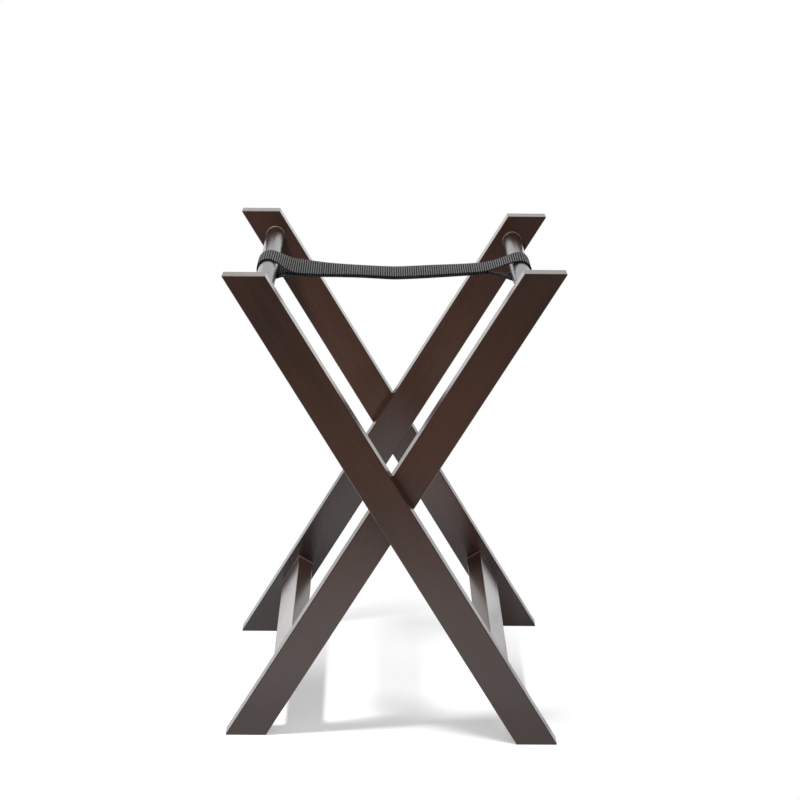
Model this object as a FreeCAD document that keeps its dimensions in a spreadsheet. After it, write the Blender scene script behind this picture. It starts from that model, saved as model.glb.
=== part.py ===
import FreeCAD, Part
import os
import Sketcher

# Folding tray stand. Two frames of flat wooden legs cross on hidden pivots, and a webbing strap round
# their top dowels holds them open. Millimetres and degrees: X is the spread, -Y the front, +Z is up,
# and the origin is on the floor, midway between the feet.

doc = FreeCAD.newDocument("folding_tray_stand")

# Driving dimensions
SIZES = {
    "overall_height": 600.0,
    "overall_depth": 400.0,
    "pivot_above_middle": 4.0,
    "half_opening_angle": 31.1,
    "leg_width": 44.0,
    "leg_thickness": 22.0,
    "leg_edge_radius": 1.0,
    "blind_wall": 8.0,
    "socket_end_clearance": 0.3,
    "glue_clearance": 0.1,
    "dowel_diameter": 24.0,
    "dowel_drop": 33.0,
    "dowel_shoulder_chamfer": 0.8,
    "tenon_shoulder": 5.0,
    "stretcher_width": 46.0,
    "stretcher_thickness": 22.0,
    "stretcher_rise": 89.0,
    "stretcher_edge_radius": 1.0,
    "joint_pin_diameter": 8.0,
    "joint_pin_edge_distance": 11.5,
    "joint_pin_depth": 16.0,
    "pivot_pin_diameter": 8.0,
    "pivot_pin_chamfer": 0.5,
    "running_clearance": 0.05,
    "bush_wall": 1.5,
    "bush_clearance": 0.02,
    "washer_diameter": 24.0,
    "washer_thickness": 1.0,
    "washer_clearance": 0.05,
    "strap_width": 50.0,
    "strap_ply": 1.8,
    "strap_dowel_clearance": 0.3,
    "strap_throat_distance": 34.0,
    "strap_throat_drop": 1.4,
    "strap_sag": 7.0,
    "stitch_thread_diameter": 0.8,
    "stitch_margin": 4.0,
    "stitch_first_row": 4.0,
    "stitch_row_spacing": 6.0,
    "stitch_clearance": 0.05,
}

sheet = doc.addObject("Spreadsheet::Sheet", "Sizes")
for row, (name, number) in enumerate(SIZES.items(), start=1):
    sheet.set(f"A{row}", name)
    sheet.set(f"B{row}", str(number))
    sheet.setAlias(f"B{row}", name)
doc.recompute()

# Places worked out from the driving dimensions, as expressions on the sheet
PIVOT_HEIGHT = "(Sizes.overall_height / 2 + Sizes.pivot_above_middle)"
LEAN_SINE = "sin(Sizes.half_opening_angle)"
LEAN_COSINE = "cos(Sizes.half_opening_angle)"
LEAN_TANGENT = "tan(Sizes.half_opening_angle)"
LEG_UP = f"((Sizes.overall_height - {PIVOT_HEIGHT}) / {LEAN_COSINE})"
LEG_DOWN = f"({PIVOT_HEIGHT} / {LEAN_COSINE})"
LEG_GAP = "(Sizes.washer_thickness + 2 * Sizes.washer_clearance)"
OUTER_LEG_INSIDE = "(Sizes.overall_depth / 2 - Sizes.leg_thickness)"
INNER_LEG_OUTSIDE = f"({OUTER_LEG_INSIDE} - {LEG_GAP})"
INNER_LEG_INSIDE = f"({INNER_LEG_OUTSIDE} - Sizes.leg_thickness)"
SOCKET_DEPTH = "(Sizes.leg_thickness - Sizes.blind_wall)"
SOCKET_REACH = f"({SOCKET_DEPTH} - Sizes.socket_end_clearance)"
DOWEL_HEIGHT = "(Sizes.overall_height - Sizes.dowel_drop)"
DOWEL_REACH = f"(({DOWEL_HEIGHT} - {PIVOT_HEIGHT}) / {LEAN_COSINE})"
DOWEL_X = f"({DOWEL_REACH} * {LEAN_SINE})"
TENON_RADIUS = "(Sizes.dowel_diameter / 2 - Sizes.tenon_shoulder)"
STRETCHER_REACH = f"(({PIVOT_HEIGHT} - Sizes.stretcher_rise) / {LEAN_COSINE})"
STRETCHER_X = f"({STRETCHER_REACH} * {LEAN_SINE})"
JOINT_PIN_OFFSET = "(Sizes.stretcher_width / 2 - Sizes.joint_pin_edge_distance)"
BUSH_BORE_RADIUS = "(Sizes.pivot_pin_diameter / 2 + Sizes.running_clearance)"
BUSH_RADIUS = f"({BUSH_BORE_RADIUS} + Sizes.bush_wall)"
PIVOT_GAP_MIDDLE = f"({OUTER_LEG_INSIDE} - {LEG_GAP} / 2)"
EYE_INSIDE_RADIUS = "(Sizes.dowel_diameter / 2 + Sizes.strap_dowel_clearance)"
EYE_OUTSIDE_RADIUS = f"({EYE_INSIDE_RADIUS} + Sizes.strap_ply)"
THROAT_X = f"({DOWEL_X} - {EYE_INSIDE_RADIUS} - Sizes.strap_throat_distance)"
THROAT_HEIGHT = f"({DOWEL_HEIGHT} - Sizes.strap_throat_drop)"
SAG_RADIUS = f"(({THROAT_X} ^ 2 + Sizes.strap_sag ^ 2) / (2 * Sizes.strap_sag))"

# Each frame leans its own way: the outer frame's top goes to -X, the inner frame's top to +X.
LEAN = {"outer": -1, "inner": 1}
# The front legs stand at -Y and the rear legs at +Y.
SIDE = {"front": -1, "rear": 1}

# Codes of a sketch: its axes, its origin, and the points of a curve
ACROSS_AXIS, UP_AXIS = range(-1, -3, -1)
START, END, CENTRE = range(1, 4)
ORIGIN = (ACROSS_AXIS, START)
SKETCH_NORMAL = FreeCAD.Vector(0, 0, 1)

# Lays a rod that is made upright along Y
ALONG_Y = FreeCAD.Rotation(FreeCAD.Vector(-1, 0, 0), 90)
# Lines of stitches beside each eye of the strap
STITCH_ROWS = 2

sub_parts = []


def number_of(expression):
    """The present value of an expression on the sheet."""
    return float(sheet.evalExpression(expression))


def finished(sub_part, label):
    sub_part.Label = label
    sub_parts.append(sub_part)


def put(sub_part, x="0", y="0", z="0", lean=0):
    """Binds a sub-part's place, and its lean about the Y axis, to the sheet."""
    for axis, expression in (("x", x), ("y", y), ("z", z)):
        sub_part.setExpression(f"Placement.Base.{axis}", expression)
    if lean:
        angle = "Sizes.half_opening_angle"
        turn = FreeCAD.Rotation(FreeCAD.Vector(0, lean, 0), number_of(angle))
        sub_part.Placement = FreeCAD.Placement(FreeCAD.Vector(), turn)
        sub_part.setExpression("Placement.Rotation.Angle", angle)


def new_body(name):
    return doc.addObject("PartDesign::Body", name)


def origin_plane(body, role):
    return next(plane for plane in body.Origin.OriginFeatures if plane.Role == role)


def new_sketch(body, name, role, offset="0"):
    sketch = body.newObject("Sketcher::SketchObject", name)
    sketch.AttachmentSupport = (origin_plane(body, role), [""])
    sketch.MapMode = "FlatFace"
    sketch.setExpression("AttachmentOffset.Base.z", offset)
    return sketch


def bind_constraint(sketch, kind, *where, expression):
    index = sketch.addConstraint(Sketcher.Constraint(kind, *where, number_of(expression)))
    sketch.setExpression(f"Constraints[{index}]", expression)


def fix_point(sketch, curve, end, across, up):
    """Holds one point of a curve at a place in the sketch; "0" puts it on the axis."""
    for kind, expression, axis in (("DistanceX", across, UP_AXIS), ("DistanceY", up, ACROSS_AXIS)):
        if expression == "0":
            sketch.addConstraint(Sketcher.Constraint("PointOnObject", curve, end, axis))
        else:
            bind_constraint(sketch, kind, *ORIGIN, curve, end, expression=expression)


def point(across, up):
    return FreeCAD.Vector(number_of(across), number_of(up), 0)


def draw_polygon(sketch, corners):
    points = [point(*corner) for corner in corners]
    lines = [sketch.addGeometry(Part.LineSegment(start, end))
             for start, end in zip(points, points[1:] + points[:1])]
    for line, following in zip(lines, lines[1:] + lines[:1]):
        sketch.addConstraint(Sketcher.Constraint("Coincident", line, END, following, START))
    for line, corner in zip(lines, corners):
        fix_point(sketch, line, START, *corner)


def draw_circles(sketch, centres, diameter):
    for centre in centres:
        circle = sketch.addGeometry(Part.Circle(point(*centre), SKETCH_NORMAL, number_of(diameter) / 2))
        fix_point(sketch, circle, CENTRE, *centre)
        bind_constraint(sketch, "Diameter", circle, expression=diameter)


def pad_both_ways(body, sketch, length):
    pad = body.newObject("PartDesign::Pad", "pad")
    pad.Profile = sketch
    pad.SideType = "Symmetric"
    pad.setExpression("Length", length)
    doc.recompute()
    return pad


def round_edges(body, feature, edge_names, radius):
    fillet = body.newObject("PartDesign::Fillet", "eased_edges")
    fillet.Base = (feature, edge_names)
    fillet.setExpression("Radius", radius)
    doc.recompute()


def bore(body, name, face, face_distance, centres, diameter, depth):
    """Sinks round holes into the face at +Y or -Y, which lies face_distance from the body's middle plane."""
    before = body.Shape.Volume
    sketch = new_sketch(body, f"{name}_sketch", "XZ_Plane", f"{-face} * {face_distance}")
    draw_circles(sketch, centres, diameter)
    pocket = body.newObject("PartDesign::Pocket", name)
    pocket.Profile = sketch
    pocket.Reversed = face > 0
    pocket.setExpression("Length", depth)
    doc.recompute()
    if pocket.Shape.Volume >= before:
        raise RuntimeError(f"{name} of {body.Name} cuts nothing")


def turned(label, outline, y="0", x="0", z=PIVOT_HEIGHT):
    """A round piece along Y, turned from the corners of its half section: radius, then place along Y."""
    body = new_body(label)
    sketch = new_sketch(body, "half_section", "XY_Plane")
    draw_polygon(sketch, outline)
    revolution = body.newObject("PartDesign::Revolution", "turning")
    revolution.Profile = sketch
    revolution.ReferenceAxis = (sketch, ["V_Axis"])
    put(body, x, y, z)
    finished(body, label)


def leg(side, frame):
    """A flat board with level ends and blind sockets for the dowel, the stretcher and the pivot."""
    label = f"{side}_{frame}_leg"
    lean = LEAN[frame]
    inward = -SIDE[side]
    pivot_face = inward if frame == "outer" else -inward
    body = new_body(label)
    outline = new_sketch(body, "outline", "XZ_Plane")
    half_width = "Sizes.leg_width / 2"
    draw_polygon(outline, [
        (f"{across} * {half_width}", f"{end} + {across * lean} * {half_width} * {LEAN_TANGENT}")
        for across, end in ((-1, f"-{LEG_DOWN}"), (1, f"-{LEG_DOWN}"), (1, LEG_UP), (-1, LEG_UP))])
    board = pad_both_ways(body, outline, "Sizes.leg_thickness")
    all_edges = [f"Edge{n}" for n in range(1, len(board.Shape.Edges) + 1)]
    round_edges(body, board, all_edges, "Sizes.leg_edge_radius")
    half_thickness = "Sizes.leg_thickness / 2"
    bore(body, "dowel_socket", inward, half_thickness, [("0", DOWEL_REACH)],
         f"2 * ({TENON_RADIUS} + Sizes.glue_clearance)", SOCKET_DEPTH)
    bore(body, "joint_pin_holes", inward, half_thickness,
         [("0", f"-{STRETCHER_REACH} + {way} * {JOINT_PIN_OFFSET}") for way in (-1, 1)],
         "Sizes.joint_pin_diameter + 2 * Sizes.glue_clearance", SOCKET_DEPTH)
    bore(body, "bush_bore", pivot_face, half_thickness, [("0", "0")],
         f"2 * ({BUSH_RADIUS} + Sizes.bush_clearance)", SOCKET_DEPTH)
    inside = OUTER_LEG_INSIDE if frame == "outer" else INNER_LEG_INSIDE
    put(body, y=f"{SIDE[side]} * ({inside} + Sizes.leg_thickness / 2)", z=PIVOT_HEIGHT, lean=lean)
    finished(body, label)


def top_dowel(frame, inside):
    """A round rail between two legs, with a turned tenon in each leg's socket."""
    radius = "Sizes.dowel_diameter / 2"
    chamfer = "Sizes.dowel_shoulder_chamfer"
    tenon_end = f"{inside} + {SOCKET_REACH}"
    one_end = [("0", tenon_end), (TENON_RADIUS, tenon_end), (TENON_RADIUS, inside),
               (f"{radius} - {chamfer}", inside), (radius, f"{inside} - {chamfer}")]
    other_end = [(across, f"-({along})") for across, along in reversed(one_end)]
    turned(f"{frame}_top_dowel", one_end + other_end, x=f"{LEAN[frame]} * {DOWEL_X}", z=DOWEL_HEIGHT)


def stretcher(frame, inside):
    """A flat rail low between two legs, its wide side along the legs, with pin holes in both ends."""
    label = f"{frame}_stretcher"
    body = new_body(label)
    section = new_sketch(body, "section", "XZ_Plane")
    half_thickness = "Sizes.stretcher_thickness / 2"
    half_width = "Sizes.stretcher_width / 2"
    draw_polygon(section, [(f"{across} * {half_thickness}", f"{up} * {half_width}")
                           for across, up in ((-1, -1), (1, -1), (1, 1), (-1, 1))])
    rail = pad_both_ways(body, section, f"2 * {inside}")
    full_length = rail.Shape.BoundBox.YLength
    long_edges = [f"Edge{n}" for n, edge in enumerate(rail.Shape.Edges, start=1)
                  if abs(edge.BoundBox.YLength - full_length) < Part.Precision.confusion()]
    round_edges(body, rail, long_edges, "Sizes.stretcher_edge_radius")
    for side, face in SIDE.items():
        bore(body, f"{side}_pin_holes", face, inside,
             [("0", f"{way} * {JOINT_PIN_OFFSET}") for way in (-1, 1)],
             "Sizes.joint_pin_diameter + 2 * Sizes.glue_clearance", "Sizes.joint_pin_depth")
    put(body, x=f"{-LEAN[frame]} * {STRETCHER_X}", z="Sizes.stretcher_rise", lean=LEAN[frame])
    finished(body, label)


def round_rod(name, length, diameter, x, y, z):
    """A plain round rod along Y, centred on a point."""
    rod = doc.addObject("Part::Cylinder", name)
    rod.setExpression("Radius", f"{diameter} / 2")
    rod.setExpression("Height", length)
    rod.Placement = FreeCAD.Placement(FreeCAD.Vector(), ALONG_Y)
    for axis, expression in (("x", x), ("y", f"{y} - ({length}) / 2"), ("z", z)):
        rod.setExpression(f"Placement.Base.{axis}", expression)
    return rod


def group(label, members):
    compound = doc.addObject("Part::Compound", label)
    compound.Links = members
    finished(compound, label)


def stretcher_joint_pins(frame, inside):
    """Glued wooden pins, two at each end of a stretcher."""
    length = f"({SOCKET_REACH} + Sizes.joint_pin_depth - Sizes.socket_end_clearance)"
    middle = f"({inside} + ({SOCKET_REACH} - Sizes.joint_pin_depth + Sizes.socket_end_clearance) / 2)"
    pins = []
    for side, face in SIDE.items():
        for way in (-1, 1):
            along_leg = f"({STRETCHER_REACH} + {way} * {JOINT_PIN_OFFSET})"
            pins.append(round_rod(
                f"{frame}_{side}_joint_pin", length, "Sizes.joint_pin_diameter",
                f"{-LEAN[frame]} * {along_leg} * {LEAN_SINE}", f"{face} * {middle}",
                f"{PIVOT_HEIGHT} - {along_leg} * {LEAN_COSINE}"))
    group(f"{frame}_stretcher_pins", pins)


def pivot(side):
    """A steel pin that floats in two brass bushes, with a thin washer between the legs."""
    place = SIDE[side]
    pin_end = f"({LEG_GAP} / 2 + {SOCKET_REACH})"
    radius = "Sizes.pivot_pin_diameter / 2"
    chamfer = "Sizes.pivot_pin_chamfer"
    one_end = [("0", pin_end), (f"{radius} - {chamfer}", pin_end), (radius, f"{pin_end} - {chamfer}")]
    other_end = [(across, f"-({along})") for across, along in reversed(one_end)]
    turned(f"{side}_pivot_pin", one_end + other_end, y=f"{place} * {PIVOT_GAP_MIDDLE}")

    half_washer = "Sizes.washer_thickness / 2"
    turned(f"{side}_pivot_washer",
           [(radius_here, f"{way} * {half_washer}")
            for radius_here, way in ((BUSH_BORE_RADIUS, -1), ("Sizes.washer_diameter / 2", -1),
                                     ("Sizes.washer_diameter / 2", 1), (BUSH_BORE_RADIUS, 1))],
           y=f"{place} * {PIVOT_GAP_MIDDLE}")

    half_bush = f"{SOCKET_REACH} / 2"
    for frame, mouth, way_in in (("outer", OUTER_LEG_INSIDE, 1), ("inner", INNER_LEG_OUTSIDE, -1)):
        turned(f"{side}_{frame}_bush",
               [(radius_here, f"{way} * {half_bush}")
                for radius_here, way in ((BUSH_BORE_RADIUS, -1), (BUSH_RADIUS, -1),
                                         (BUSH_RADIUS, 1), (BUSH_BORE_RADIUS, 1))],
               y=f"{place} * ({mouth} + {way_in} * {half_bush})")


def draw_arc(sketch, centre, radius, start_point, end_point):
    """An arc drawn anticlockwise between the directions of two points, with its radius bound."""
    middle = point(*centre)
    directions = [place - middle for place in (start_point, end_point)]
    circle = Part.Circle(middle, SKETCH_NORMAL, number_of(radius))
    start_angle, end_angle = (circle.parameter(middle + way) for way in directions)
    arc = sketch.addGeometry(Part.ArcOfCircle(circle, start_angle, end_angle))
    bind_constraint(sketch, "Radius", arc, expression=radius)
    return arc


def webbing_strap():
    """Two plies of webbing sewn together, with an eye round each dowel and a slight sag between."""
    body = new_body("webbing_strap")
    sketch = new_sketch(body, "side_outline", "XZ_Plane")

    def eye(way, radius, ply):
        """One eye's arc and two straight runs; gives the lower run and its throat, then the upper."""
        centre = (f"{way} * {DOWEL_X}", DOWEL_HEIGHT)
        throat_below = (f"{way} * {THROAT_X}", f"{THROAT_HEIGHT} - {ply}")
        throat_above = (f"{way} * {THROAT_X}", f"{THROAT_HEIGHT} + {ply}")
        below = point(*centre) - FreeCAD.Vector(0, number_of(radius), 0)
        above = point(*centre) + FreeCAD.Vector(0, number_of(radius), 0)
        first, last = (below, above) if way > 0 else (above, below)
        arc = draw_arc(sketch, centre, radius, first, last)
        fix_point(sketch, arc, CENTRE, *centre)
        runs = []
        for throat, dowel_end, arc_end in ((throat_below, below, START if way > 0 else END),
                                           (throat_above, above, END if way > 0 else START)):
            run = sketch.addGeometry(Part.LineSegment(point(*throat), dowel_end))
            sketch.addConstraint(Sketcher.Constraint("Tangent", run, END, arc, arc_end))
            runs.append((run, throat))
        return runs

    left_runs, right_runs = (eye(way, EYE_OUTSIDE_RADIUS, "Sizes.strap_ply") for way in (-1, 1))
    for (left, left_throat), (right, right_throat) in zip(left_runs, right_runs):
        face = left_throat[1]
        centre = ("0", f"{face} - Sizes.strap_sag + {SAG_RADIUS}")
        sag = draw_arc(sketch, centre, SAG_RADIUS, point(*left_throat), point(*right_throat))
        for run, throat, end in ((left, left_throat, START), (right, right_throat, END)):
            fix_point(sketch, run, START, *throat)
            sketch.addConstraint(Sketcher.Constraint("Coincident", run, START, sag, end))
    for way in (-1, 1):
        (lower, throat), (upper, _) = eye(way, EYE_INSIDE_RADIUS, "0")
        fix_point(sketch, lower, START, *throat)
        sketch.addConstraint(Sketcher.Constraint("Coincident", lower, START, upper, START))

    pad_both_ways(body, sketch, "Sizes.strap_width")
    finished(body, "webbing_strap")


def strap_stitching():
    """Rows of thread across the strap beside each eye, each with its twin on the other face."""
    rows = []
    lift = "(Sizes.strap_ply + Sizes.stitch_clearance + Sizes.stitch_thread_diameter / 2)"
    for way in (-1, 1):
        for row in range(STITCH_ROWS):
            x = f"({THROAT_X} - Sizes.stitch_first_row - {row} * Sizes.stitch_row_spacing)"
            rise = f"({SAG_RADIUS} - sqrt({SAG_RADIUS} ^ 2 - {x} ^ 2))"
            for face in (-1, 1):
                rows.append(round_rod(
                    "stitch_row", "Sizes.strap_width - 2 * Sizes.stitch_margin",
                    "Sizes.stitch_thread_diameter", f"{way} * {x}", "0",
                    f"{THROAT_HEIGHT} - Sizes.strap_sag + {rise} + {face} * {lift}"))
    group("strap_stitching", rows)


for frame, inside in (("outer", OUTER_LEG_INSIDE), ("inner", INNER_LEG_INSIDE)):
    for side in SIDE:
        leg(side, frame)
    top_dowel(frame, inside)
    stretcher(frame, inside)
    stretcher_joint_pins(frame, inside)
for side in SIDE:
    pivot(side)
webbing_strap()
strap_stitching()
doc.recompute()

for thing in doc.Objects:
    if "Invalid" in thing.State or "Error" in thing.State:
        raise RuntimeError(f"{thing.Name} failed: {thing.State}")
for sub_part in sub_parts:
    if sub_part.Shape.isNull() or not sub_part.Shape.isValid():
        raise RuntimeError(f"{sub_part.Label} has no valid shape")

os.makedirs("parts", exist_ok=True)
for sub_part in sub_parts:
    sub_part.Shape.exportStep(f"parts/{sub_part.Label}.step")
    print(sub_part.Label, len(sub_part.Shape.Solids), round(sub_part.Shape.Volume, 1))
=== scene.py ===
import math

import bpy
from mathutils import Matrix, Vector


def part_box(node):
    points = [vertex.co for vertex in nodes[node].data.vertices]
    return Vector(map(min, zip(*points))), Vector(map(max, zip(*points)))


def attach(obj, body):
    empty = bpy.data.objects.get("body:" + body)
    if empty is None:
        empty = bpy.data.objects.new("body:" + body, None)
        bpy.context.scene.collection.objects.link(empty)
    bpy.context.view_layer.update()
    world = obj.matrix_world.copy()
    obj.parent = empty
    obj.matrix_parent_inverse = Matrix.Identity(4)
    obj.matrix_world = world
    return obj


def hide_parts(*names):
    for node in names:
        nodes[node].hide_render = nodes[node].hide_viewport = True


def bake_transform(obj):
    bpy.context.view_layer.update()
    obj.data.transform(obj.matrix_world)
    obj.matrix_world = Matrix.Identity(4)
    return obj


# Looks of the folding tray stand, in metres, in the frame of its solids: X is the spread, -Y the front.

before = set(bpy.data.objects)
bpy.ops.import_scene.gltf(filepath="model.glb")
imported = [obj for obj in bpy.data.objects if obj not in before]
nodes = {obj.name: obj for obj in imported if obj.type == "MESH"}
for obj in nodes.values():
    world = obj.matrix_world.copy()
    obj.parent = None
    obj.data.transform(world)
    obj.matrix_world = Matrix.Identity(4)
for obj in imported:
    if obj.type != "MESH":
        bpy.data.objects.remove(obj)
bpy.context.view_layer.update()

# Camera that matches the photograph
CAMERA_PLACE = (-0.02312, -2.55252, 1.15938)
CAMERA_YAW = math.radians(0.7273)
CAMERA_PITCH = math.radians(16.7726)
CAMERA_ROLL = math.radians(0.6426)
SENSOR_WIDTH = 36.0
LENS = 92.95

# World: light levels, where 1 is white, and the stretches of a direction's Y over which they change
FILL_LEVEL = 0.25
FRONT_FILL_LEVEL = 1.45
FRONT_FILL_STRETCH = (-0.95, -0.45)
BACK_LEVEL = 1.0
FRONT_LEVEL = 0.09
BACK_STRETCH = (0.15, 0.85)

# Lamp overhead
LAMP_PLACE = (-0.44, -0.32, 1.5)
LAMP_WIDTH = 0.14
LAMP_DEPTH = 0.16
LAMP_POWER = 22.0

# Floor, with the stretches over which it changes: of Y, or of -Y for those that are ahead of the stand
FLOOR_WIDTH = 5.0
FLOOR_DEPTH = 5.4
FLOOR_MIDDLE_Y = 0.6
FLOOR_CELLS = 24
FLOOR_GLOW = 0.32
MIRRORED_GLOW = 0.6
MIRRORED_GLOW_RISE = 1.2
RISE_STRETCH = (0.0, 0.8)
MIRRORED_GLOW_FALL = 0.8
FALL_STRETCH = (0.8, 1.5)
COOL_AHEAD = (-0.2, 0.1)
MIRRORED_DIMMING = 0.85
DIMMING_AHEAD = (0.5, 1.25)
SCATTERED_DIMMING = 0.35
EDGE_AHEAD = (0.9, 0.95)

# Part of the floor that shows the stand's shadow, as a stretched round, and its fading toward the rear
SHADOW_SHIFT = (0.0, 0.06, 0.0)
SHADOW_STRETCH = (1.5, 1.0, 1.0)
SHADOW_REACH = (0.25, 0.37)
REAR_SHADOW_STRETCH = (-0.04, 0.1)
REAR_SHADOW_FADING = 0.6

# Colours
WHITE = (1.0, 1.0, 1.0, 1.0)
COOL_WHITE = (0.95, 0.98, 1.15, 1.0)
FLOOR_WHITE = (0.9, 0.9, 0.9, 1.0)
BLACK = (0.0, 0.0, 0.0, 1.0)
THIN_STAIN_DARK = (0.047, 0.0190, 0.0102, 1.0)
THIN_STAIN_LIGHT = (0.062, 0.0252, 0.0134, 1.0)
# Deep stain, also used as the colour of painted shade
DEEP_STAIN_AND_SHADE = (0.016, 0.0082, 0.0066, 1.0)
PALE_STAIN = (0.080, 0.057, 0.054, 1.0)
PORE_STAIN = (0.024, 0.0099, 0.0058, 1.0)
# Glue beads, painted pale as a highlight
GLUE_HIGHLIGHT_DARK = (0.085, 0.062, 0.055, 1.0)
GLUE_HIGHLIGHT_LIGHT = (0.16, 0.12, 0.107, 1.0)
BEECH_DARK = (0.46, 0.29, 0.15, 1.0)
BEECH_LIGHT = (0.62, 0.43, 0.25, 1.0)
BRASS_DARK = (0.60, 0.42, 0.16, 1.0)
BRASS_LIGHT = (0.78, 0.60, 0.28, 1.0)
STEEL_DARK = (0.42, 0.42, 0.42, 1.0)
STEEL_LIGHT = (0.62, 0.62, 0.63, 1.0)
NYLON_DARK = (0.016, 0.015, 0.014, 1.0)
NYLON_LIGHT = (0.030, 0.028, 0.026, 1.0)
# Webbing: painted shade in the furrows, painted highlight on the crowns
FURROW_SHADE_BLACK = (0.0012, 0.0012, 0.0014, 1.0)
CROWN_HIGHLIGHT_BLACK = (0.036, 0.036, 0.037, 1.0)
WORN_BLACK = (0.04, 0.04, 0.041, 1.0)
THREAD_DARK = (0.004, 0.004, 0.0045, 1.0)
THREAD_LIGHT = (0.022, 0.022, 0.024, 1.0)

# Legs
LEAN = math.radians(31.1)
LEG_HALF_WIDTH = 0.022
PIVOT_Z = 0.304
LEG_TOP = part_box("front_outer_leg")[1].z

# Where stain, lacquer and painted shade change: distance from the height of a painted band of light, height,
# Y, and outward past an edge or top
LIGHT_BAND_Z = 0.33
END_SHADE_STRETCH = (0.05, 0.27)
LOW_STRETCH = (0.2, 0.45)
FOOT_STRETCH = (0.02, 0.09)
REAR_SHADE_STRETCH = (-0.1, 0.1)
EDGE_STRETCH = (-0.0014, -0.0006)
TOP_STRETCH = (-0.002, -0.0005)
LACQUER_ROUGHNESS = 0.2

# Places and sizes of the solids that the webbing and the glue follow
strap_low, strap_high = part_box("webbing_strap")
dowel_low, dowel_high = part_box("inner_top_dowel")
stretcher_low, stretcher_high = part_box("outer_stretcher")
DOWEL_X = (dowel_low.x + dowel_high.x) / 2
DOWEL_Z = (dowel_low.z + dowel_high.z) / 2
DOWEL_RADIUS = (dowel_high.z - dowel_low.z) / 2
STRETCHER_X = (stretcher_low.x + stretcher_high.x) / 2
STRETCHER_Z = (stretcher_low.z + stretcher_high.z) / 2
STRETCHER_WIDTH = 0.046
STRETCHER_THICKNESS = 0.022
STRAP_WIDTH = strap_high.y - strap_low.y
STITCH_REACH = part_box("strap_stitching")[1].y

# Glue that shows round the shoulders of the rails
BEAD_RADIUS = 0.0007
CORNER_RADIUS = 0.001

# Webbing: a ply's thickness is over the crowns of its ribs, and a roll is in degrees
PLY = 0.0022
PLY_SPREAD = 0.0013
EYE_CLEARANCE = 0.00015
RIB_PITCH = 0.00286
RIB_DEPTH = 0.00045
RIB_STEPS = 6
SELVEDGE_ROUNDING = 0.45
YARNS_ACROSS = 42.0
MIDDLE_Z = 0.5582
MIDDLE_ROLL = 1.4
CREASE_REACH = 0.009

# Stitches: the rings of an end, each with its share of the length, its size and its dip in threads
THREAD = 0.0006
STITCH_LENGTH = 0.0036
STITCH_FILL = 0.86
STITCH_RINGS = ((0.5, 0.45, 0.42), (0.3, 0.9, 0.10))


def active_named(name):
    piece = bpy.context.object
    piece.name = name
    piece.data.name = name
    return piece


def select_only(piece, kind, test):
    """In edit mode, selects just the vertices, edges or faces of a mesh that pass a test."""
    bpy.ops.mesh.select_mode(type=kind)
    bpy.ops.mesh.select_all(action="DESELECT")
    bpy.ops.object.mode_set(mode="OBJECT")
    members = {"VERT": piece.data.vertices, "EDGE": piece.data.edges, "FACE": piece.data.polygons}[kind]
    for member in members:
        member.select = test(member)
    bpy.ops.object.mode_set(mode="EDIT")


def edge_run(piece, edge):
    """Direction of an edge."""
    start, end = (piece.data.vertices[index].co for index in edge.vertices)
    return (end - start).normalized()


def apply_modifier(piece, kind, **settings):
    modifier = piece.modifiers.new(kind.lower(), kind)
    for name, value in settings.items():
        setattr(modifier, name, value)
    bpy.ops.object.modifier_apply(modifier=modifier.name)


def placed_copy(pattern, placing):
    """A copy of a piece with a mesh of its own, put in its place by a matrix."""
    twin = pattern.copy()
    twin.data = pattern.data.copy()
    bpy.context.collection.objects.link(twin)
    twin.data.transform(placing)
    return twin


def join_pieces(name, pieces):
    bpy.ops.object.select_all(action="DESELECT")
    for piece in pieces:
        piece.select_set(True)
    bpy.context.view_layer.objects.active = pieces[0]
    bpy.ops.object.join()
    return active_named(name)


def give(piece, material):
    piece.data.materials.clear()
    piece.data.materials.append(material)


class Signal:
    """An output of a shader node, for use in arithmetic: each operator adds a Math node."""

    def __init__(self, finish, socket):
        self.finish = finish
        self.socket = socket

    def output(self, name):
        """Another output of the same node."""
        return Signal(self.finish, self.socket.node.outputs[name])

    def part(self, axis):
        """One part of a vector."""
        return self.finish.node("ShaderNodeSeparateXYZ", None, {"Vector": self}, output=axis)

    def __add__(self, other):
        return self.finish.math("ADD", self, other)

    def __radd__(self, other):
        return self.finish.math("ADD", other, self)

    def __sub__(self, other):
        return self.finish.math("SUBTRACT", self, other)

    def __rsub__(self, other):
        return self.finish.math("SUBTRACT", other, self)

    def __mul__(self, other):
        return self.finish.math("MULTIPLY", self, other)

    def __rmul__(self, other):
        return self.finish.math("MULTIPLY", other, self)

    def __abs__(self):
        return self.finish.math("ABSOLUTE", self)


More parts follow.
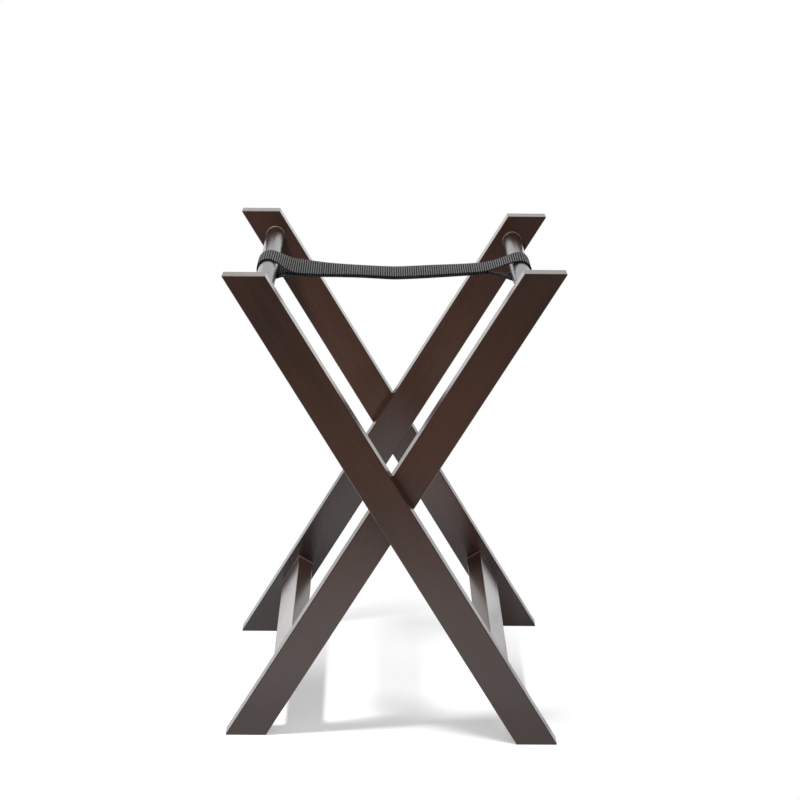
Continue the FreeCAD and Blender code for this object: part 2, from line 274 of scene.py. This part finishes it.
class Finish:
    """The node tree of a material or of the world."""

    def __init__(self, owner):
        owner.use_nodes = True
        self.tree = owner.node_tree
        self.tree.nodes.clear()

    def node(self, kind, settings=None, sockets=None, output=0):
        """Adds a node, sets it up, fills or links its sockets, and gives one of its outputs."""
        made = self.tree.nodes.new(kind)
        for name, value in (settings or {}).items():
            setattr(made, name, value)
        for name, value in (sockets or {}).items():
            if isinstance(value, Signal):
                self.tree.links.new(value.socket, made.inputs[name])
            else:
                made.inputs[name].default_value = value
        return Signal(self, made.outputs[output]) if made.outputs else None

    def math(self, operation, *values):
        return self.node("ShaderNodeMath", {"operation": operation}, dict(enumerate(values)))

    def mix(self, first, second, share):
        """A colour between two colours."""
        return self.node("ShaderNodeMix", {"data_type": "RGBA"}, {0: share, 6: first, 7: second}, output=2)

    def mix_shaders(self, first, second, share):
        return self.node("ShaderNodeMixShader", None, {0: share, 1: first, 2: second})

    def between(self, value, low, high):
        """0 where a value is under low, 1 where it is over high, and a smooth step in between."""
        return self.node("ShaderNodeMapRange", {"interpolation_type": "SMOOTHSTEP"},
                         {"Value": value, "From Min": low, "From Max": high})

    def own(self):
        """The piece's own coordinates."""
        return self.node("ShaderNodeTexCoord", output="Object")

    def place(self, scale, turn=(0.0, 0.0, 0.0), shift=(0.0, 0.0, 0.0)):
        """The piece's own coordinates, shifted, turned and then stretched."""
        shifted = self.node("ShaderNodeMapping", None, {"Vector": self.own(), "Location": shift})
        turned = self.node("ShaderNodeMapping", None, {"Vector": shifted, "Rotation": turn})
        return self.node("ShaderNodeMapping", None, {"Vector": turned, "Scale": scale})

    def noise(self, where, detail=3.0, roughness=0.5):
        return self.node("ShaderNodeTexNoise", None,
                         {"Vector": where, "Scale": 1.0, "Detail": detail, "Roughness": roughness})

    def bump(self, height, distance, strength):
        return self.node("ShaderNodeBump", None,
                         {"Height": height, "Distance": distance, "Strength": strength})

    def principled(self, **sockets):
        shader = self.node("ShaderNodeBsdfPrincipled", None,
                           {name.replace("_", " "): value for name, value in sockets.items()})
        self.node("ShaderNodeOutputMaterial", None, {"Surface": shader})


def new_finish(name):
    material = bpy.data.materials.new(name)
    return material, Finish(material)


def toward(colour, other, share):
    """A fixed colour part of the way to another."""
    return tuple(Vector(colour).lerp(Vector(other), share))


# Finishes


def stained_wood(name, turn, haze, end_shade_depth, rear_shade_depth=0.0, half_width=1.0, paleness=0.0):
    """Dark stain under satin lacquer, with its grain along Z once the coordinates are turned. Boards take
    painted shade that darkens them away from a painted band of light at one height, and on the rails all
    over, and painted shade low at the rear. They can also be darker past half_width from the middle, or paler
    all over. Stain and lacquer are patchy, and dull where feet and low edges are worn and on the cut tops of
    the legs."""
    material, finish = new_finish(name)
    board = finish.noise(finish.place((9.0, 9.0, 1.6), turn), 2.0)
    streaks = finish.noise(finish.place((170.0, 170.0, 5.0), turn), 5.0, 0.6)
    pores = finish.between(finish.noise(finish.place((1500.0, 1500.0, 60.0), turn), 2.0), 0.56, 0.70)
    patches = finish.between(finish.noise(finish.place((22.0, 22.0, 9.0), turn), 2.0), 0.35, 0.65)
    lacquer = finish.noise(finish.place((140.0, 140.0, 60.0), turn), 2.0)
    own = finish.own()
    height = own.part("Z")
    # Painted shade: the boards darken with distance from a painted band of light at one height; the rails,
    # far from that height, darken all over
    end_shade = finish.between(abs(height - LIGHT_BAND_Z), *END_SHADE_STRETCH)
    low = 1.0 - finish.between(height, *LOW_STRETCH)
    # Painted shade on the rear boards, low down, where less light reaches them
    rear = finish.between(own.part("Y"), *REAR_SHADE_STRETCH) * low
    offset = finish.place((1.0, 1.0, 1.0), turn, (0.0, 0.0, -PIVOT_Z)).part("X")
    # The last millimetre out to each edge: the stain is darker there, and low down these edges are dull from
    # wear
    edge_band = finish.between(abs(offset) - half_width, *EDGE_STRETCH)
    feet = 1.0 - finish.between(height, *FOOT_STRETCH)
    worn = finish.math("MAXIMUM", feet, edge_band * low)
    dull = worn + 0.7 * finish.between(height - LEG_TOP, *TOP_STRETCH)
    # How far the stain goes toward deep: painted shade by height and at the rear, and real patches of deeper
    # stain
    depth = end_shade * end_shade_depth + rear * rear_shade_depth + patches * 0.2
    tone = finish.between(streaks * 0.5 + board * 0.5, 0.34, 0.66)
    thin = finish.mix(toward(THIN_STAIN_DARK, PALE_STAIN, paleness),
                      toward(THIN_STAIN_LIGHT, PALE_STAIN, paleness), tone)
    # The thin stain, deepened by the painted shade, the patches and the darker edges
    stain_and_shade = finish.mix(thin, DEEP_STAIN_AND_SHADE, finish.math("MAXIMUM", depth, edge_band * 0.6))
    finish.principled(
        Base_Color=finish.mix(stain_and_shade, PORE_STAIN, pores * 0.3),
        Roughness=haze + 0.05 * streaks + 0.05 * pores + 0.1 * dull,
        IOR=1.4,
        Coat_Weight=(0.85 + 0.15 * patches) * (1.0 - 0.4 * dull),
        Coat_IOR=1.4,
        Coat_Roughness=LACQUER_ROUGHNESS,
        Normal=finish.bump(streaks * 0.15 - pores * 0.3 + lacquer * 0.6, 0.00003, 0.3),
    )
    return material


def joint_glue_highlight():
    """Dried glue under lacquer; its pale colour is a painted highlight, which the light from above shows
    along the bead's top.
    """
    material, finish = new_finish("joint_glue_highlight")
    lumps = finish.noise(finish.place((400.0, 400.0, 400.0)), 2.0)
    finish.principled(
        Base_Color=finish.mix(GLUE_HIGHLIGHT_DARK, GLUE_HIGHLIGHT_LIGHT, lumps),
        Roughness=0.45 + 0.1 * lumps,
        Normal=finish.bump(lumps, 0.0001, 0.5),
    )
    return material


def pin_wood():
    """Plain beech pins, with their grain along Y."""
    material, finish = new_finish("pin_wood")
    streaks = finish.noise(finish.place((600.0, 25.0, 600.0)), 4.0)
    finish.principled(
        Base_Color=finish.mix(BEECH_DARK, BEECH_LIGHT, streaks),
        Roughness=0.55 + 0.15 * streaks,
        Normal=finish.bump(streaks, 0.00005, 0.5),
    )
    return material


def turned_metal(name, dark, light, roughness):
    """Metal with fine turning marks round an axis along Y."""
    material, finish = new_finish(name)
    rings = finish.noise(finish.place((20.0, 4000.0, 20.0)), 2.0)
    stains = finish.noise(finish.place((120.0, 120.0, 120.0)))
    finish.principled(
        Base_Color=finish.mix(dark, light, rings * 0.6 + stains * 0.4),
        Metallic=1.0,
        Roughness=roughness + 0.12 * rings,
        Normal=finish.bump(rings, 0.00001, 0.5),
    )
    return material


def washer_nylon():
    material, finish = new_finish("washer_nylon")
    grain = finish.noise(finish.place((900.0, 900.0, 900.0)), 2.0)
    finish.principled(
        Base_Color=finish.mix(NYLON_DARK, NYLON_LIGHT, grain),
        Roughness=0.5 + 0.12 * grain,
        Normal=finish.bump(grain, 0.00002, 0.4),
    )
    return material


def strap_webbing():
    """Black woven webbing. Its ribs are in the mesh and yarns cross them. The furrows between are painted
    darker as shade, the crowns lighter as a painted highlight with painted glints, with less of it at the
    selvedges.
    """
    material, finish = new_finish("strap_webbing")
    weave = finish.node("ShaderNodeUVMap", {"uv_map": "weave"})
    along = weave.part("X")
    across = weave.part("Y")
    crown = finish.math("SINE", along * math.pi)
    yarn = finish.math("SINE", across * (math.tau * YARNS_ACROSS))
    fibre = finish.noise(finish.place((2600.0, 700.0, 2600.0)))
    sparkle = finish.noise(finish.place((1000.0, 260.0, 1000.0)), 2.0)
    wear = finish.noise(finish.place((60.0, 60.0, 60.0)))
    selvedge = finish.between(abs(across - 0.5), 0.475, 0.495)
    # Painted light: crowns and glints lighter, furrows in painted shade
    relief = crown * 0.7 + yarn * 0.05 + fibre * 0.15 + sparkle * 0.45
    lit = finish.between(relief, 0.72, 1.0) * (1.0 - selvedge * 0.5)
    shaded_and_lit_yarns = finish.mix(FURROW_SHADE_BLACK, CROWN_HIGHLIGHT_BLACK, lit)
    finish.principled(
        Base_Color=finish.mix(shaded_and_lit_yarns, WORN_BLACK, lit * wear * 0.25),
        Roughness=0.6 + 0.2 * fibre,
        IOR=1.2,
        Coat_Weight=lit,
        Coat_Roughness=0.4,
        Normal=finish.bump(yarn * 0.4 + fibre * 0.6, 0.00015, 0.7),
    )
    return material


def strap_thread():
    """Twisted black thread."""
    material, finish = new_finish("strap_thread")
    twist = finish.node("ShaderNodeTexWave", {"bands_direction": "DIAGONAL"},
                        {"Vector": finish.own(), "Scale": 900.0, "Distortion": 0.5}, output="Fac")
    finish.principled(
        Base_Color=finish.mix(THREAD_DARK, THREAD_LIGHT, twist),
        Roughness=0.55 + 0.2 * twist,
        IOR=1.4,
        Normal=finish.bump(twist, 0.0001, 0.5),
    )
    return material


# Strap


class StrapSide:
    """One half of the strap: which way it goes, a frame, which is not used, the stations of its runs
    between the strap's middle and the eye, and where it is sewn. A station of the middle of a ply: X outward,
    Z, rise outward, and the roll in degrees that lowers its front edge."""

    def __init__(self, name, way, body, lower, upper, seams):
        self.name = name
        self.way = way
        self.body = body
        self.lower = lower
        self.upper = upper
        self.seams = seams

    def path(self):
        """Points from the strap's middle, out along the lower run, round the dowel and back along the upper
        one. A point: X outward, Z, direction of travel, roll, and reach of its handles before and after."""
        eye = DOWEL_RADIUS + EYE_CLEARANCE + PLY / 2
        bend = eye * 4 / 3 * (math.sqrt(2) - 1)
        out = [(0.0, MIDDLE_Z - PLY_SPREAD, 0.0, MIDDLE_ROLL), *self.lower,
               (DOWEL_X, DOWEL_Z - eye, 0.0, 0.0)]
        back = [(DOWEL_X, DOWEL_Z + eye, 0.0, 0.0), *reversed(self.upper),
                (0.0, MIDDLE_Z + PLY_SPREAD, 0.0, MIDDLE_ROLL)]
        outer_point = [DOWEL_X + eye, DOWEL_Z, math.pi / 2, 0.0, bend, bend]
        lower_points = run_points(out, 0.0, CREASE_REACH, bend)
        upper_points = run_points(back, math.pi, bend, CREASE_REACH)
        return lower_points + [outer_point] + upper_points


def run_points(stations, travel, first_reach, last_reach):
    """Points of one run, each with handles a third of the way to its neighbours."""
    points = [[x, z, travel + math.atan(rise), roll, first_reach, last_reach]
              for x, z, rise, roll in stations]
    for point, onward in zip(points, points[1:]):
        point[-1] = onward[-2] = abs(onward[0] - point[0]) / 3
    points[0][-1] = min(points[0][-1], first_reach)
    points[-1][-2] = min(points[-1][-2], last_reach)
    return points


def path_curve(side):
    bpy.ops.curve.primitive_bezier_curve_add()
    curve = active_named("strap_path")
    spline = curve.data.splines[0]
    points = side.path()
    spline.bezier_points.add(len(points) - len(spline.bezier_points))
    for point, (x, z, travel, roll, before, after) in zip(spline.bezier_points, points):
        place = Vector((side.way * x, 0.0, z))
        onward = Vector((side.way * math.cos(travel), 0.0, math.sin(travel)))
        point.handle_left_type = point.handle_right_type = "FREE"
        point.co = place
        point.handle_left = place - onward * before
        point.handle_right = place + onward * after
        point.tilt = math.copysign(math.radians(roll), roll * onward.x)
    spline.resolution_u = 32
    spline.tilt_interpolation = "CARDINAL"
    curve.data.twist_mode = "MINIMUM"
    curve.data.use_stretch = True
    curve.data.use_deform_bounds = True
    return curve


def rib(name):
    """One rib of the webbing: a sleeve along X, rounded at its selvedges and swollen between its ends."""
    core = PLY - 2 * RIB_DEPTH
    bpy.ops.mesh.primitive_cube_add(size=1.0)
    piece = active_named(name)
    piece.scale = (RIB_PITCH, STRAP_WIDTH, core)
    bpy.ops.object.transform_apply(scale=True)
    bpy.ops.object.mode_set(mode="EDIT")
    select_only(piece, "FACE", lambda face: abs(face.normal.x) > 0.9)
    bpy.ops.mesh.delete(type="FACE")
    select_only(piece, "EDGE", lambda edge: abs(edge_run(piece, edge).x) > 0.9)
    bpy.ops.mesh.bevel(offset=core * SELVEDGE_ROUNDING, segments=4, profile=0.6)
    select_only(piece, "EDGE", lambda edge: abs(edge_run(piece, edge).x) > 0.9)
    bpy.ops.mesh.subdivide(number_cuts=RIB_STEPS - 1)
    for step in range(1, RIB_STEPS):
        place = (step / RIB_STEPS - 0.5) * RIB_PITCH
        select_only(piece, "VERT", lambda vertex: abs(vertex.co.x - place) < RIB_PITCH * 0.05)
        swelling = math.sin(math.pi * step / RIB_STEPS) * 2 * RIB_DEPTH
        bpy.ops.transform.resize(value=(1.0, 1.0, 1 + swelling / core))
    bpy.ops.object.mode_set(mode="OBJECT")
    weave = piece.data.uv_layers.new(name="weave")
    for loop in piece.data.loops:
        place = piece.data.vertices[loop.vertex_index].co
        weave.data[loop.index].uv = (place.x / RIB_PITCH + 0.5, place.y / STRAP_WIDTH + 0.5)
    return piece


def strap_half(side):
    """Ribs in a row, bent along the path and closed at the strap's middle."""
    curve = path_curve(side)
    count = round(curve.data.splines[0].calc_length() / RIB_PITCH)
    piece = rib(f"strap_{side.name}_half")
    apply_modifier(piece, "ARRAY", count=count, use_relative_offset=False, use_constant_offset=True,
                   constant_offset_displace=(RIB_PITCH, 0.0, 0.0), use_merge_vertices=True,
                   merge_threshold=RIB_PITCH * 0.01)
    bpy.ops.object.mode_set(mode="EDIT")
    bpy.ops.mesh.select_mode(type="EDGE")
    bpy.ops.mesh.select_all(action="DESELECT")
    bpy.ops.mesh.select_non_manifold()
    bpy.ops.mesh.fill_holes(sides=0)
    bpy.ops.object.mode_set(mode="OBJECT")
    apply_modifier(piece, "CURVE", object=curve, deform_axis="POS_X")
    bpy.data.objects.remove(curve)
    bpy.ops.object.mode_set(mode="EDIT")
    bpy.ops.mesh.select_all(action="SELECT")
    bpy.ops.mesh.normals_make_consistent(inside=False)
    bpy.ops.object.mode_set(mode="OBJECT")
    bpy.ops.object.shade_smooth_by_angle(angle=math.radians(60))
    return piece


def stitch_row(name):
    """A row of short stitches along Y, each with thin ends that dip into the webbing."""
    count = round(2 * STITCH_REACH / STITCH_LENGTH)
    pitch = 2 * STITCH_REACH / count
    length = pitch * STITCH_FILL
    bpy.ops.mesh.primitive_cylinder_add(vertices=10, radius=THREAD / 2, depth=length,
                                        rotation=(math.pi / 2, 0.0, 0.0))
    piece = active_named(name)
    bpy.ops.object.transform_apply(rotation=True)
    bpy.ops.object.mode_set(mode="EDIT")
    select_only(piece, "EDGE", lambda edge: abs(edge_run(piece, edge).y) > 0.9)
    bpy.ops.mesh.subdivide(number_cuts=4)
    for share, size, dip in STITCH_RINGS:
        for end in (-1, 1):
            place = end * share * length
            select_only(piece, "VERT", lambda vertex: abs(vertex.co.y - place) < pitch * 0.02)
            bpy.ops.transform.resize(value=(size, 1.0, size))
            bpy.ops.transform.translate(value=(0.0, 0.0, -dip * THREAD))
    bpy.ops.object.mode_set(mode="OBJECT")
    piece.data.transform(Matrix.Translation((0.0, pitch / 2 - STITCH_REACH, 0.0)))
    apply_modifier(piece, "ARRAY", count=count, use_relative_offset=False, use_constant_offset=True,
                   constant_offset_displace=(0.0, pitch, 0.0))
    return piece


def strap_face(strap, x, y, up):
    """Z of the strap's upper or lower face at a place, on the crown of the rib there."""
    heights = []
    for step in range(RIB_STEPS):
        start = (x + (step / RIB_STEPS - 0.5) * RIB_PITCH, y, DOWEL_Z + up * STRAP_WIDTH)
        heights.append(strap.ray_cast(start, (0.0, 0.0, -up))[1].z)
    return up * max(up * height for height in heights)


def stitching(side, strap):
    """Rows of stitches on both faces of the strap, seated on it."""
    name = f"strap_{side.name}_stitching"
    pattern = stitch_row(name)
    rows = []
    for seam in side.seams:
        for up, flip in ((1, 0.0), (-1, math.pi)):
            x = side.way * seam
            front, rear = (strap_face(strap, x, y, up) for y in (-STITCH_REACH, STITCH_REACH))
            roll = Matrix.Rotation(math.atan2(rear - front, 2 * STITCH_REACH), 4, "X")
            place = Matrix.Translation((x, 0.0, (front + rear) / 2))
            rows.append(placed_copy(pattern, place @ roll @ Matrix.Rotation(flip, 4, "Y")))
    bpy.data.objects.remove(pattern)
    stitches = join_pieces(name, rows)
    bpy.ops.object.shade_smooth()
    return stitches


# Glue lines


def bead_round(outline):
    """Turns an outline into a round bead along it."""
    bpy.ops.object.convert(target="CURVE")
    outline.data.bevel_depth = BEAD_RADIUS
    outline.data.bevel_resolution = 3
    bpy.ops.object.convert(target="MESH")
    bpy.ops.object.shade_smooth()
    return outline


def dowel_bead():
    """A bead round a dowel, in the plane of X and Z."""
    bpy.ops.mesh.primitive_circle_add(vertices=64, radius=DOWEL_RADIUS, rotation=(math.pi / 2, 0.0, 0.0))
    ring = active_named("dowel_bead")
    bpy.ops.object.transform_apply(rotation=True)
    return bead_round(ring)


def stretcher_bead():
    """A bead round an upright stretcher, in the plane of X and Z."""
    bpy.ops.mesh.primitive_plane_add(size=1.0, rotation=(math.pi / 2, 0.0, 0.0))
    ring = active_named("stretcher_bead")
    ring.scale = (STRETCHER_THICKNESS, STRETCHER_WIDTH, 1.0)
    bpy.ops.object.transform_apply(rotation=True, scale=True)
    bpy.ops.object.mode_set(mode="EDIT")
    bpy.ops.mesh.select_all(action="SELECT")
    bpy.ops.mesh.bevel(offset=CORNER_RADIUS, segments=4, affect="VERTICES")
    bpy.ops.mesh.select_all(action="SELECT")
    bpy.ops.mesh.delete(type="ONLY_FACE")
    bpy.ops.object.mode_set(mode="OBJECT")
    return bead_round(ring)


def frame_beads(name, leg, way):
    """The beads at both ends of a frame's dowel and stretcher, where they meet the insides of its legs."""
    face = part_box(leg)[0].y
    beads = []
    for pattern, x, z, turn in ((dowel_bead(), way * DOWEL_X, DOWEL_Z, 0.0),
                                (stretcher_bead(), -way * STRETCHER_X, STRETCHER_Z, way * LEAN)):
        for y in (-face, face):
            placing = Matrix.Translation((x, y, z)) @ Matrix.Rotation(turn, 4, "Y")
            beads.append(placed_copy(pattern, placing))
        bpy.data.objects.remove(pattern)
    return join_pieces(name, beads)


# Studio


def set_camera():
    camera = bpy.data.objects.new("camera", bpy.data.cameras.new("camera"))
    bpy.context.scene.collection.objects.link(camera)
    camera.data.sensor_width = SENSOR_WIDTH
    camera.data.lens = LENS
    turn = (Matrix.Rotation(-CAMERA_YAW, 4, "Z") @ Matrix.Rotation(math.pi / 2 - CAMERA_PITCH, 4, "X")
            @ Matrix.Rotation(CAMERA_ROLL, 4, "Z"))
    camera.matrix_world = Matrix.Translation(CAMERA_PLACE) @ turn
    bpy.context.scene.camera = camera


def ray_kinds(finish):
    """1 for rays from the camera, mirrored ones, those through clear pieces, and others, else 0."""
    camera = finish.node("ShaderNodeLightPath", output="Is Camera Ray")
    mirrored = camera.output("Is Glossy Ray")
    through = camera.output("Is Transmission Ray")
    return camera, mirrored, through, 1.0 - camera - mirrored - through


def white_floor():
    """White that glows a little. Past the stand's shadow the camera sees it plain, mirrored rays find it ever
    dimmer ahead of the stand, and for scattered light it ends there, as paper in a studio does."""
    material, finish = new_finish("white_floor")
    camera, mirrored, through, scattered = ray_kinds(finish)
    depth = finish.own().part("Y")
    ahead = 0.0 - depth
    mirrored_glow = (MIRRORED_GLOW + MIRRORED_GLOW_RISE * finish.between(depth, *RISE_STRETCH)
                     - MIRRORED_GLOW_FALL * finish.between(depth, *FALL_STRETCH))
    glow_share = camera + through + mirrored * mirrored_glow
    tint = finish.mix(WHITE, COOL_WHITE, mirrored * finish.between(ahead, *COOL_AHEAD))
    glow_colour = finish.mix(BLACK, tint, glow_share * FLOOR_GLOW)
    glow = finish.node("ShaderNodeEmission", None, {"Color": glow_colour, "Strength": 1.0})
    matt = finish.node("ShaderNodeBsdfDiffuse", None, {"Color": FLOOR_WHITE})
    bright = finish.node("ShaderNodeAddShader", None, {0: matt, 1: glow})
    dark = finish.node("ShaderNodeBsdfDiffuse", None, {"Color": BLACK})
    mirrored_dimming = mirrored * finish.between(ahead, *DIMMING_AHEAD) * MIRRORED_DIMMING
    lit = finish.mix_shaders(bright, dark, scattered * SCATTERED_DIMMING + mirrored_dimming)
    spread = finish.place(SHADOW_STRETCH, shift=SHADOW_SHIFT)
    distance = finish.node("ShaderNodeVectorMath", {"operation": "LENGTH"}, {0: spread}, output="Value")
    fading = finish.between(depth, *REAR_SHADOW_STRETCH) * REAR_SHADOW_FADING
    kept = (1.0 - finish.between(distance, *SHADOW_REACH)) * (1.0 - fading)
    plain = finish.node("ShaderNodeEmission", None, {"Color": WHITE, "Strength": 1.0})
    shown = finish.mix_shaders(lit, plain, (1.0 - kept) * camera)
    nothing = finish.node("ShaderNodeBsdfTransparent")
    shader = finish.mix_shaders(shown, nothing, scattered * finish.between(ahead, *EDGE_AHEAD))
    finish.node("ShaderNodeOutputMaterial", None, {"Surface": shader})
    return material


def set_floor():
    bpy.ops.mesh.primitive_grid_add(x_subdivisions=FLOOR_CELLS, y_subdivisions=FLOOR_CELLS, size=1.0)
    floor = active_named("floor")
    floor.scale = (FLOOR_WIDTH, FLOOR_DEPTH, 1.0)
    floor.location = (0.0, FLOOR_MIDDLE_Y, 0.0)
    bpy.ops.object.transform_apply(location=True, scale=True)
    give(floor, white_floor())


def set_world():
    """White to the camera. Mirrored rays find it bright behind the stand and dim in front of it, and
    scattered light comes mostly from the front."""
    world = bpy.data.worlds.new("studio")
    bpy.context.scene.world = world
    finish = Finish(world)
    camera, mirrored, through, scattered = ray_kinds(finish)
    backward = finish.node("ShaderNodeTexCoord", output="Generated").part("Y")
    wall = FRONT_LEVEL + finish.between(backward, *BACK_STRETCH) * (BACK_LEVEL - FRONT_LEVEL)
    fill = FRONT_FILL_LEVEL + finish.between(backward, *FRONT_FILL_STRETCH) * (FILL_LEVEL - FRONT_FILL_LEVEL)
    strength = camera + through + mirrored * wall + scattered * fill
    background = finish.node("ShaderNodeBackground", None, {"Color": WHITE, "Strength": strength})
    finish.node("ShaderNodeOutputWorld", None, {"Surface": background})


def add_softbox(name, place, width, depth, power):
    """A lamp that shines straight down."""
    lamp = bpy.data.objects.new(name, bpy.data.lights.new(name, "AREA"))
    bpy.context.scene.collection.objects.link(lamp)
    lamp.data.shape = "RECTANGLE"
    lamp.data.size = width
    lamp.data.size_y = depth
    lamp.data.energy = power
    lamp.location = place
    lamp.visible_camera = False


set_camera()
set_world()
set_floor()
add_softbox("overhead_softbox", LAMP_PLACE, LAMP_WIDTH, LAMP_DEPTH, LAMP_POWER)

ALONG_Y = (math.pi / 2, 0.0, 0.0)
FINISHES = {
    # The boards take painted shade away from the painted band of light, and the inner legs also take it low
    # at the rear
    "outer_leg": stained_wood("stained_wood_outer_legs", (0.0, LEAN, 0.0), haze=0.21, end_shade_depth=0.52,
                              half_width=LEG_HALF_WIDTH),
    "inner_leg": stained_wood("stained_wood_inner_legs", (0.0, -LEAN, 0.0), haze=0.21, end_shade_depth=0.52,
                              rear_shade_depth=0.5, half_width=LEG_HALF_WIDTH),
    "_dowel": stained_wood("stained_wood_dowels", ALONG_Y, haze=0.28, end_shade_depth=1.0),
    "_stretcher": stained_wood("stained_wood_stretchers", ALONG_Y, haze=0.31, end_shade_depth=0.3, paleness=0.4),
    "_pins": pin_wood(),
    "bush": turned_metal("bush_brass", BRASS_DARK, BRASS_LIGHT, 0.28),
    "pivot_pin": turned_metal("pivot_steel", STEEL_DARK, STEEL_LIGHT, 0.22),
    "washer": washer_nylon(),
}
for name, node in nodes.items():
    for ending, material in FINISHES.items():
        if name.endswith(ending):
            give(node, material)

glue_highlight = joint_glue_highlight()
for body, leg, way in (("outer_frame", "rear_outer_leg", -1), ("inner_frame", "rear_inner_leg", 1)):
    beads = frame_beads(f"{body}_beads", leg, way)
    give(beads, glue_highlight)
    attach(beads, body)

LEFT = StrapSide(
    "left", -1, "outer_frame",
    lower=((0.050, 0.5589, 0.035, 1.2), (0.086, 0.5604, 0.030, 4.0), (0.110, 0.5609, 0.010, 5.0),
           (0.136, 0.5607, -0.060, 4.8), (0.1475, 0.5576, -0.550, 3.5)),
    upper=((0.050, 0.5615, 0.035, 1.3), (0.086, 0.5629, 0.050, 4.0), (0.111, 0.5648, 0.105, 7.1),
           (0.127, 0.5668, 0.220, 7.1), (0.1395, 0.5722, 0.560, 4.6)),
    seams=(0.084, 0.090))
RIGHT = StrapSide(
    "right", 1, "inner_frame",
    lower=((0.045, 0.5591, 0.063, 1.2), (0.085, 0.5616, 0.060, 0.3), (0.108, 0.5627, 0.000, -1.0),
           (0.1265, 0.5590, -0.240, -10.0), (0.141, 0.5560, -0.200, -5.5)),
    upper=((0.045, 0.5617, 0.063, 1.4), (0.085, 0.5641, 0.070, 0.3), (0.107, 0.5658, 0.110, 0.0),
           (0.125, 0.5693, 0.310, -1.2), (0.140, 0.5747, 0.365, -2.0)),
    seams=(0.096, 0.102))
webbing = strap_webbing()
thread = strap_thread()
for side in (LEFT, RIGHT):
    strap = strap_half(side)
    stitches = stitching(side, strap)
    for piece, material, node, slot in ((strap, webbing, "webbing_strap", "strap_webbing"),
                                        (stitches, thread, "strap_stitching", "strap_thread")):
        give(piece, material)
        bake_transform(piece)
        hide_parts(node)

bpy.context.scene.view_settings.view_transform = "Standard"
